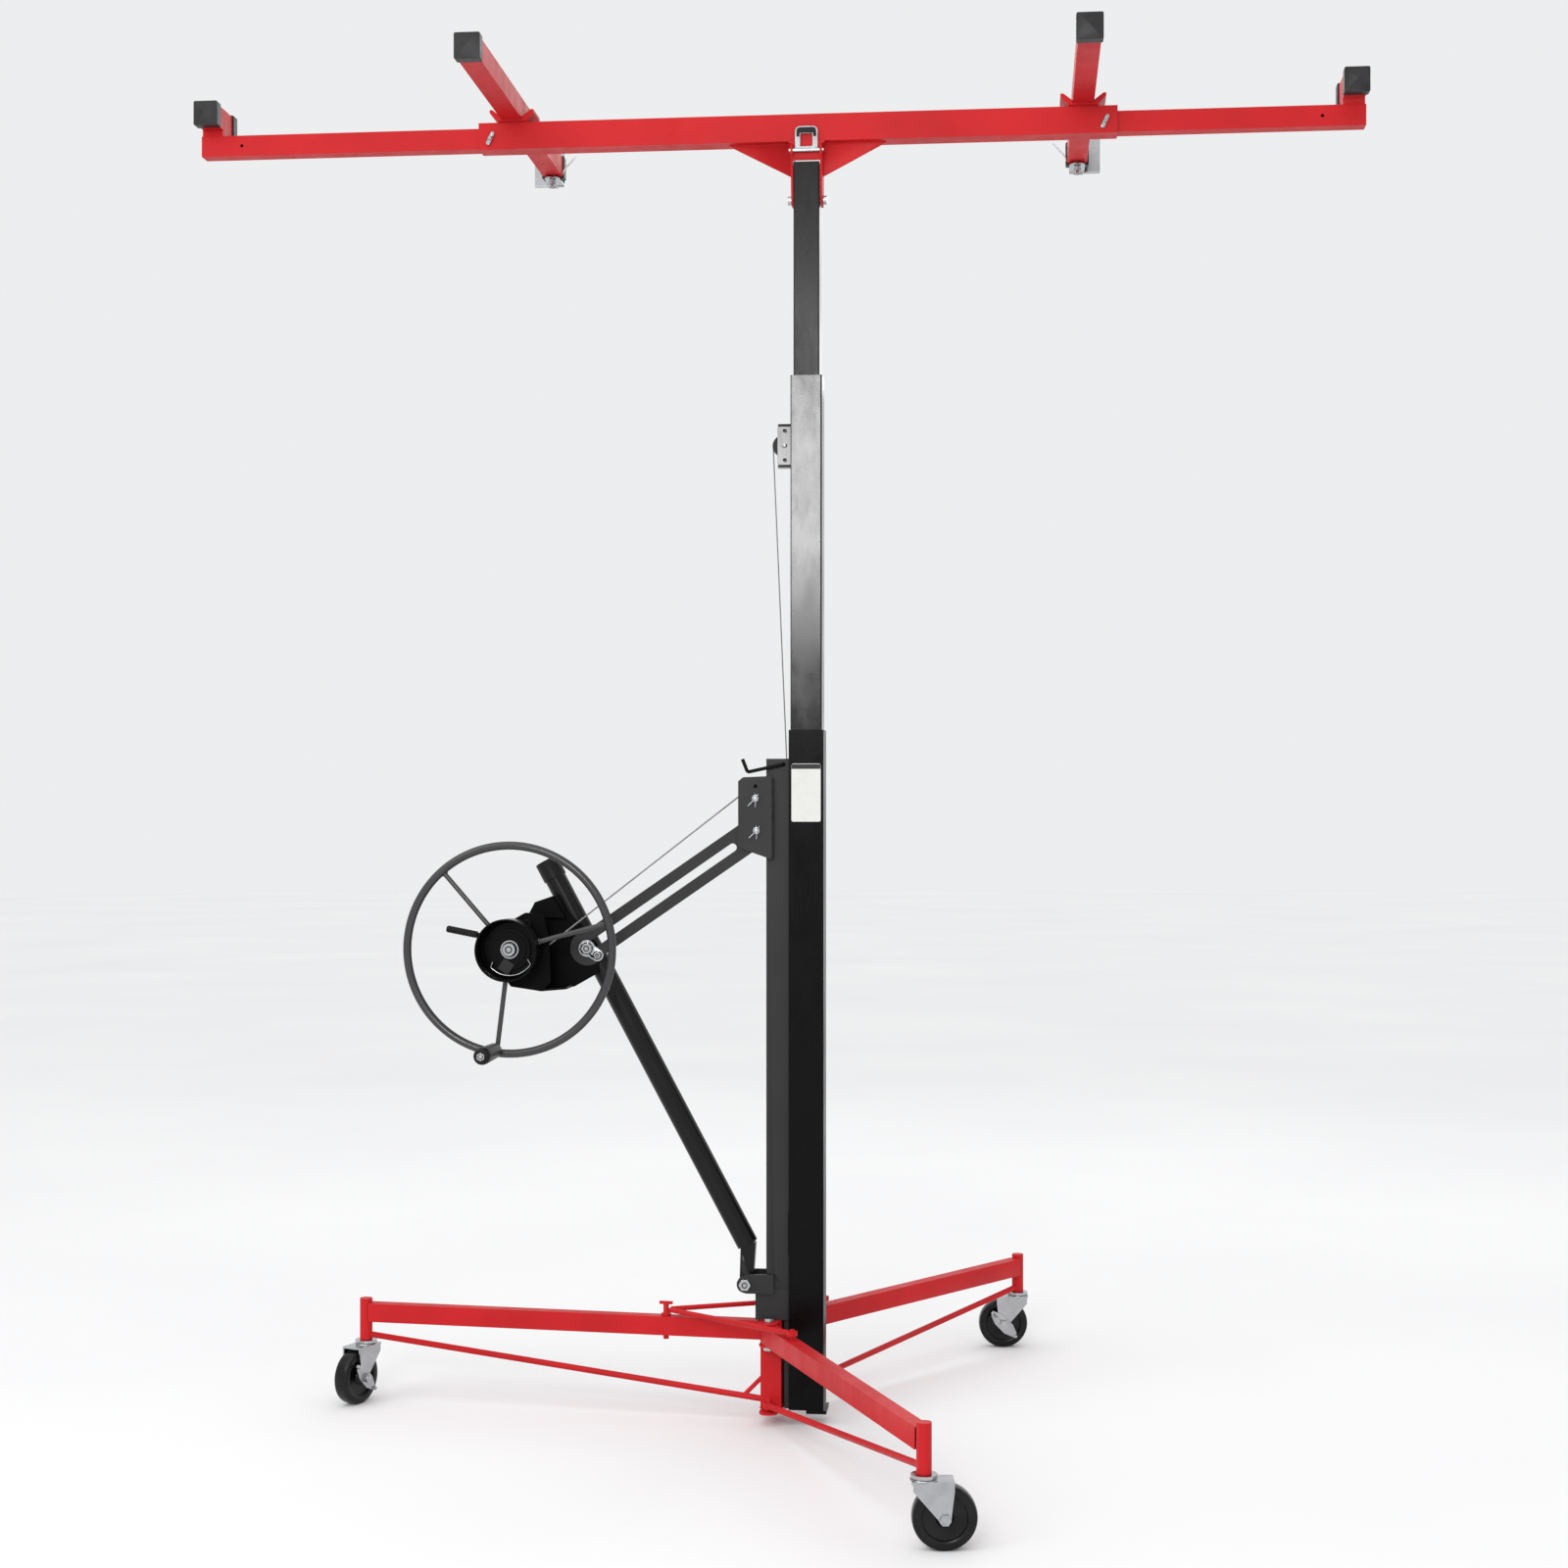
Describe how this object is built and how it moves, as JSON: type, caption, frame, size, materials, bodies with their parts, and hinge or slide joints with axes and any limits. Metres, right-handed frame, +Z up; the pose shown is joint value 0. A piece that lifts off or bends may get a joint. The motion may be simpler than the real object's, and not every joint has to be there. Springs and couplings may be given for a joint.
{
  "type": "drywall lift",
  "caption": "Rolling drywall panel hoist: folding tripod base, telescoping square mast with hand-wheel winch, tilting red cradle with cross arms.",
  "frame": {"origin": "on the floor, under the axis of the telescoping mast", "axes": "+X along the crossbar away from the winch, +Y away from the hand wheel, +Z up"},
  "size_m": [2.087, 1.3936, 2.395],
  "materials": {
    "red_paint": "semi-gloss red powder coat",
    "black_paint": "satin black powder coat",
    "grey_enamel": "dark grey enamel",
    "black_plastic": "moulded black plastic",
    "zinc": "bright zinc plate",
    "steel_cable": "galvanised wire rope",
    "wheel_plastic": "hard black rubber and plastic",
    "pedal_steel": "zinc-plated pressed steel"
  },
  "bodies": {
    "base": {"base_post": "red_paint", "left_leg": "red_paint", "outer_mast_tube": "black_paint", "mast_upright": "black_paint", "winch_bracket": "black_paint", "frame_fasteners": "zinc", "lift_cable_span": "steel_cable", "lift_cable_drop": "steel_cable", "stage_cable_span": "steel_cable"},
    "mast_stage_1": {"middle_mast_tube": "black_paint", "middle_tube_glides": "black_plastic", "stage_pulley_bracket": "black_paint", "stage_cable_drop": "steel_cable"},
    "stage_pulley_body": {"stage_pulley": "black_plastic"},
    "mast_stage_2": {"inner_mast_tube": "black_paint", "inner_tube_glides": "black_plastic", "tilt_bolt": "zinc"},
    "cradle": {"crossbar": "red_paint", "centre_bracket": "red_paint", "crossbar_lock_pins": "zinc"},
    "tilt_latch_body": {"tilt_latch": "zinc"},
    "winch_strut": {"strut_tube": "black_paint", "strut_cap": "black_plastic", "winch_housing": "black_paint", "arm_retainer": "zinc"},
    "slotted_arm_body": {"slotted_arm": "black_paint"},
    "hand_wheel_body": {"hand_wheel": "grey_enamel", "wheel_hub": "black_paint", "cable_drum": "black_paint"},
    "spinner_body": {"spinner_knob": "black_plastic"},
    "brake_lever_body": {"brake_lever": "black_plastic"},
    "bracket_pulley_body": {"bracket_pulley": "black_plastic"},
    "lock_rod_body": {"lock_rod": "black_paint"},
    "spreader_pin_body": {"spreader_pin": "red_paint"},
    "extension_left_body": {"extension_left": "red_paint", "extension_caps_left": "black_plastic"},
    "extension_right_body": {"extension_right": "red_paint", "extension_caps_right": "black_plastic"},
    "cross_arm_left_body": {"cross_arm_left": "red_paint", "cross_arm_caps_left": "black_plastic", "arm_saddle_left": "red_paint", "arm_pivot_left": "zinc"},
    "panel_hook_left_body": {"panel_hook_left": "zinc"},
    "cross_arm_right_body": {"cross_arm_right": "red_paint", "cross_arm_caps_right": "black_plastic", "arm_saddle_right": "red_paint", "arm_pivot_right": "zinc"},
    "panel_hook_right_body": {"panel_hook_right": "zinc"},
    "front_leg_body": {"front_leg": "red_paint"},
    "front_spreader_body": {"front_spreader": "red_paint"},
    "rear_leg_body": {"rear_leg": "red_paint"},
    "rear_spreader_body": {"rear_spreader": "red_paint"},
    "caster_left_swivel": {"caster_fork_left": "zinc"},
    "caster_left_wheel": {"caster_wheel_left": "wheel_plastic"},
    "brake_pedal_left_body": {"brake_pedal_left": "pedal_steel"},
    "caster_front_swivel": {"caster_fork_front": "zinc"},
    "caster_front_wheel": {"caster_wheel_front": "wheel_plastic"},
    "caster_rear_swivel": {"caster_fork_rear": "zinc"},
    "caster_rear_wheel": {"caster_wheel_rear": "wheel_plastic"},
    "brake_pedal_rear_body": {"brake_pedal_rear": "pedal_steel"}
  },
  "joints": [
    {"name": "mast_stage_1_lift", "type": "slide", "parent": "base", "child": "mast_stage_1", "axis": [0, 0, 1], "range_m": [-0.28, 0.49], "deforming": ["lift_cable_drop", "stage_cable_span"]},
    {"name": "mast_stage_2_lift", "type": "slide", "parent": "mast_stage_1", "child": "mast_stage_2", "axis": [0, 0, 1], "range_m": [-0.281, 0.491], "deforming": ["stage_cable_drop"]},
    {"name": "cradle_tilt", "type": "hinge", "parent": "mast_stage_2", "child": "cradle", "pos_m": [0, 0, 2.18], "axis": [-1, 0, 0], "range_deg": [0, 65]},
    {"name": "tilt_latch_swing", "type": "hinge", "parent": "cradle", "child": "tilt_latch_body", "pos_m": [0, -0.0265, 2.263], "axis": [1, 0, 0], "range_deg": [0, 75]},
    {"name": "stage_pulley_turn", "type": "hinge", "parent": "mast_stage_1", "child": "stage_pulley_body", "pos_m": [-0.043, 0, 1.742], "axis": [0, 1, 0], "range_deg": [-1525, 875]},
    {"name": "bracket_pulley_turn", "type": "hinge", "parent": "base", "child": "bracket_pulley_body", "pos_m": [-0.09, 0, 1.112], "axis": [0, 1, 0], "range_deg": [-1200, 690]},
    {"name": "strut_fold", "type": "hinge", "parent": "base", "child": "winch_strut", "pos_m": [-0.109, 0, 0.248], "axis": [0, 1, 0], "range_deg": [0, 12], "deforming": ["lift_cable_span"]},
    {"name": "slotted_arm_swing", "type": "hinge", "parent": "base", "child": "slotted_arm_body", "pos_m": [-0.088, -0.024, 1.055], "axis": [0, 1, 0], "range_deg": [-9, 0]},
    {"name": "hand_wheel_turn", "type": "hinge", "parent": "winch_strut", "child": "hand_wheel_body", "pos_m": [-0.517, 0, 0.846], "axis": [0, 1, 0], "range_deg": [-505, 880]},
    {"name": "spinner_turn", "type": "hinge", "parent": "hand_wheel_body", "child": "spinner_body", "pos_m": [-0.54023, -0.177, 0.66952], "axis": [0, 1, 0], "continuous": true},
    {"name": "brake_lever_press", "type": "hinge", "parent": "winch_strut", "child": "brake_lever_body", "pos_m": [-0.49, -0.091, 0.89], "axis": [0, 1, 0], "range_deg": [0, 12], "stiffness_Nm_per_rad": 2, "springref_deg": -5.73},
    {"name": "lock_rod_lift", "type": "hinge", "parent": "base", "child": "lock_rod_body", "pos_m": [-0.041, -0.02, 1.173], "axis": [0, 1, 0], "range_deg": [0, 40]},
    {"name": "spreader_pin_lift", "type": "slide", "parent": "base", "child": "spreader_pin_body", "axis": [0, 0, 1], "range_m": [0, 0.05]},
    {"name": "extension_left_slide", "type": "slide", "parent": "cradle", "child": "extension_left_body", "axis": [-1, 0, 0], "range_m": [-0.44, 0]},
    {"name": "extension_right_slide", "type": "slide", "parent": "cradle", "child": "extension_right_body", "axis": [1, 0, 0], "range_m": [-0.38, 0.08]},
    {"name": "cross_arm_left_swing", "type": "hinge", "parent": "cradle", "child": "cross_arm_left_body", "pos_m": [-0.531, 0, 2.33], "axis": [0, 0, 1], "range_deg": [0, 75]},
    {"name": "panel_hook_left_swing", "type": "hinge", "parent": "cross_arm_left_body", "child": "panel_hook_left_body", "pos_m": [-0.531, 0.352, 2.33], "axis": [0, 0, 1], "range_deg": [0, 90]},
    {"name": "cross_arm_right_swing", "type": "hinge", "parent": "cradle", "child": "cross_arm_right_body", "pos_m": [0.488, 0, 2.33], "axis": [0, 0, -1], "range_deg": [0, 75]},
    {"name": "panel_hook_right_swing", "type": "hinge", "parent": "cross_arm_right_body", "child": "panel_hook_right_body", "pos_m": [0.488, 0.352, 2.33], "axis": [0, 0, -1], "range_deg": [0, 90]},
    {"name": "front_leg_fold", "type": "hinge", "parent": "base", "child": "front_leg_body", "pos_m": [-0.06597, -0.03779, 0.16], "axis": [0, 0, -1], "range_deg": [0, 100]},
    {"name": "front_spreader_fold", "type": "hinge", "parent": "front_leg_body", "child": "front_spreader_body", "pos_m": [-0.0131, -0.15655, 0.191], "axis": [0, 0, 1], "range_deg": [0, 150.39]},
    {"name": "rear_leg_fold", "type": "hinge", "parent": "base", "child": "rear_leg_body", "pos_m": [-0.05803, 0.03779, 0.16], "axis": [0, 0, 1], "range_deg": [0, 100]},
    {"name": "rear_spreader_fold", "type": "hinge", "parent": "rear_leg_body", "child": "rear_spreader_body", "pos_m": [0.01838, 0.14296, 0.191], "axis": [0, 0, -1], "range_deg": [0, 150.39]},
    {"name": "caster_left_swivel_turn", "type": "hinge", "parent": "base", "child": "caster_left_swivel", "pos_m": [-0.82778, 0.08049, 0.11], "axis": [0, 0, 1], "continuous": true},
    {"name": "caster_left_roll", "type": "hinge", "parent": "caster_left_swivel", "child": "caster_left_wheel", "pos_m": [-0.83902, 0.05267, 0.049], "axis": [0.9272, -0.3746, 0], "continuous": true},
    {"name": "brake_pedal_left_press", "type": "hinge", "parent": "caster_left_swivel", "child": "brake_pedal_left_body", "pos_m": [-0.83902, 0.05267, 0.049], "axis": [0.9272, -0.3746, 0], "range_deg": [0, 20]},
    {"name": "caster_front_swivel_turn", "type": "hinge", "parent": "front_leg_body", "child": "caster_front_swivel", "pos_m": [0.23379, -0.71108, 0.11], "axis": [0, 0, 1], "continuous": true},
    {"name": "caster_front_roll", "type": "hinge", "parent": "caster_front_swivel", "child": "caster_front_wheel", "pos_m": [0.26363, -0.70794, 0.049], "axis": [-0.1045, 0.9945, 0], "continuous": true},
    {"name": "caster_rear_swivel_turn", "type": "hinge", "parent": "rear_leg_body", "child": "caster_rear_swivel", "pos_m": [0.37517, 0.63404, 0.11], "axis": [0, 0, 1], "continuous": true},
    {"name": "caster_rear_roll", "type": "hinge", "parent": "caster_rear_swivel", "child": "caster_rear_wheel", "pos_m": [0.34533, 0.6309, 0.049], "axis": [0.1045, -0.9945, 0], "continuous": true},
    {"name": "brake_pedal_rear_press", "type": "hinge", "parent": "caster_rear_swivel", "child": "brake_pedal_rear_body", "pos_m": [0.34533, 0.6309, 0.049], "axis": [0.1045, -0.9945, 0], "range_deg": [0, 20]}
  ],
  "couplings": [
    {"joint": "mast_stage_2_lift", "follows": "mast_stage_1_lift", "ratio": 1},
    {"joint": "hand_wheel_turn", "follows": "mast_stage_1_lift", "rad_per_m": 31.153},
    {"joint": "bracket_pulley_turn", "follows": "mast_stage_1_lift", "rad_per_m": -42.553},
    {"joint": "stage_pulley_turn", "follows": "mast_stage_1_lift", "rad_per_m": -54.054},
    {"joint": "slotted_arm_swing", "follows": "strut_fold", "ratio": -0.71231},
    {"joint": "front_spreader_fold", "follows": "front_leg_fold", "ratio": 1.4989},
    {"joint": "rear_spreader_fold", "follows": "rear_leg_fold", "ratio": 1.4989}
  ]
}
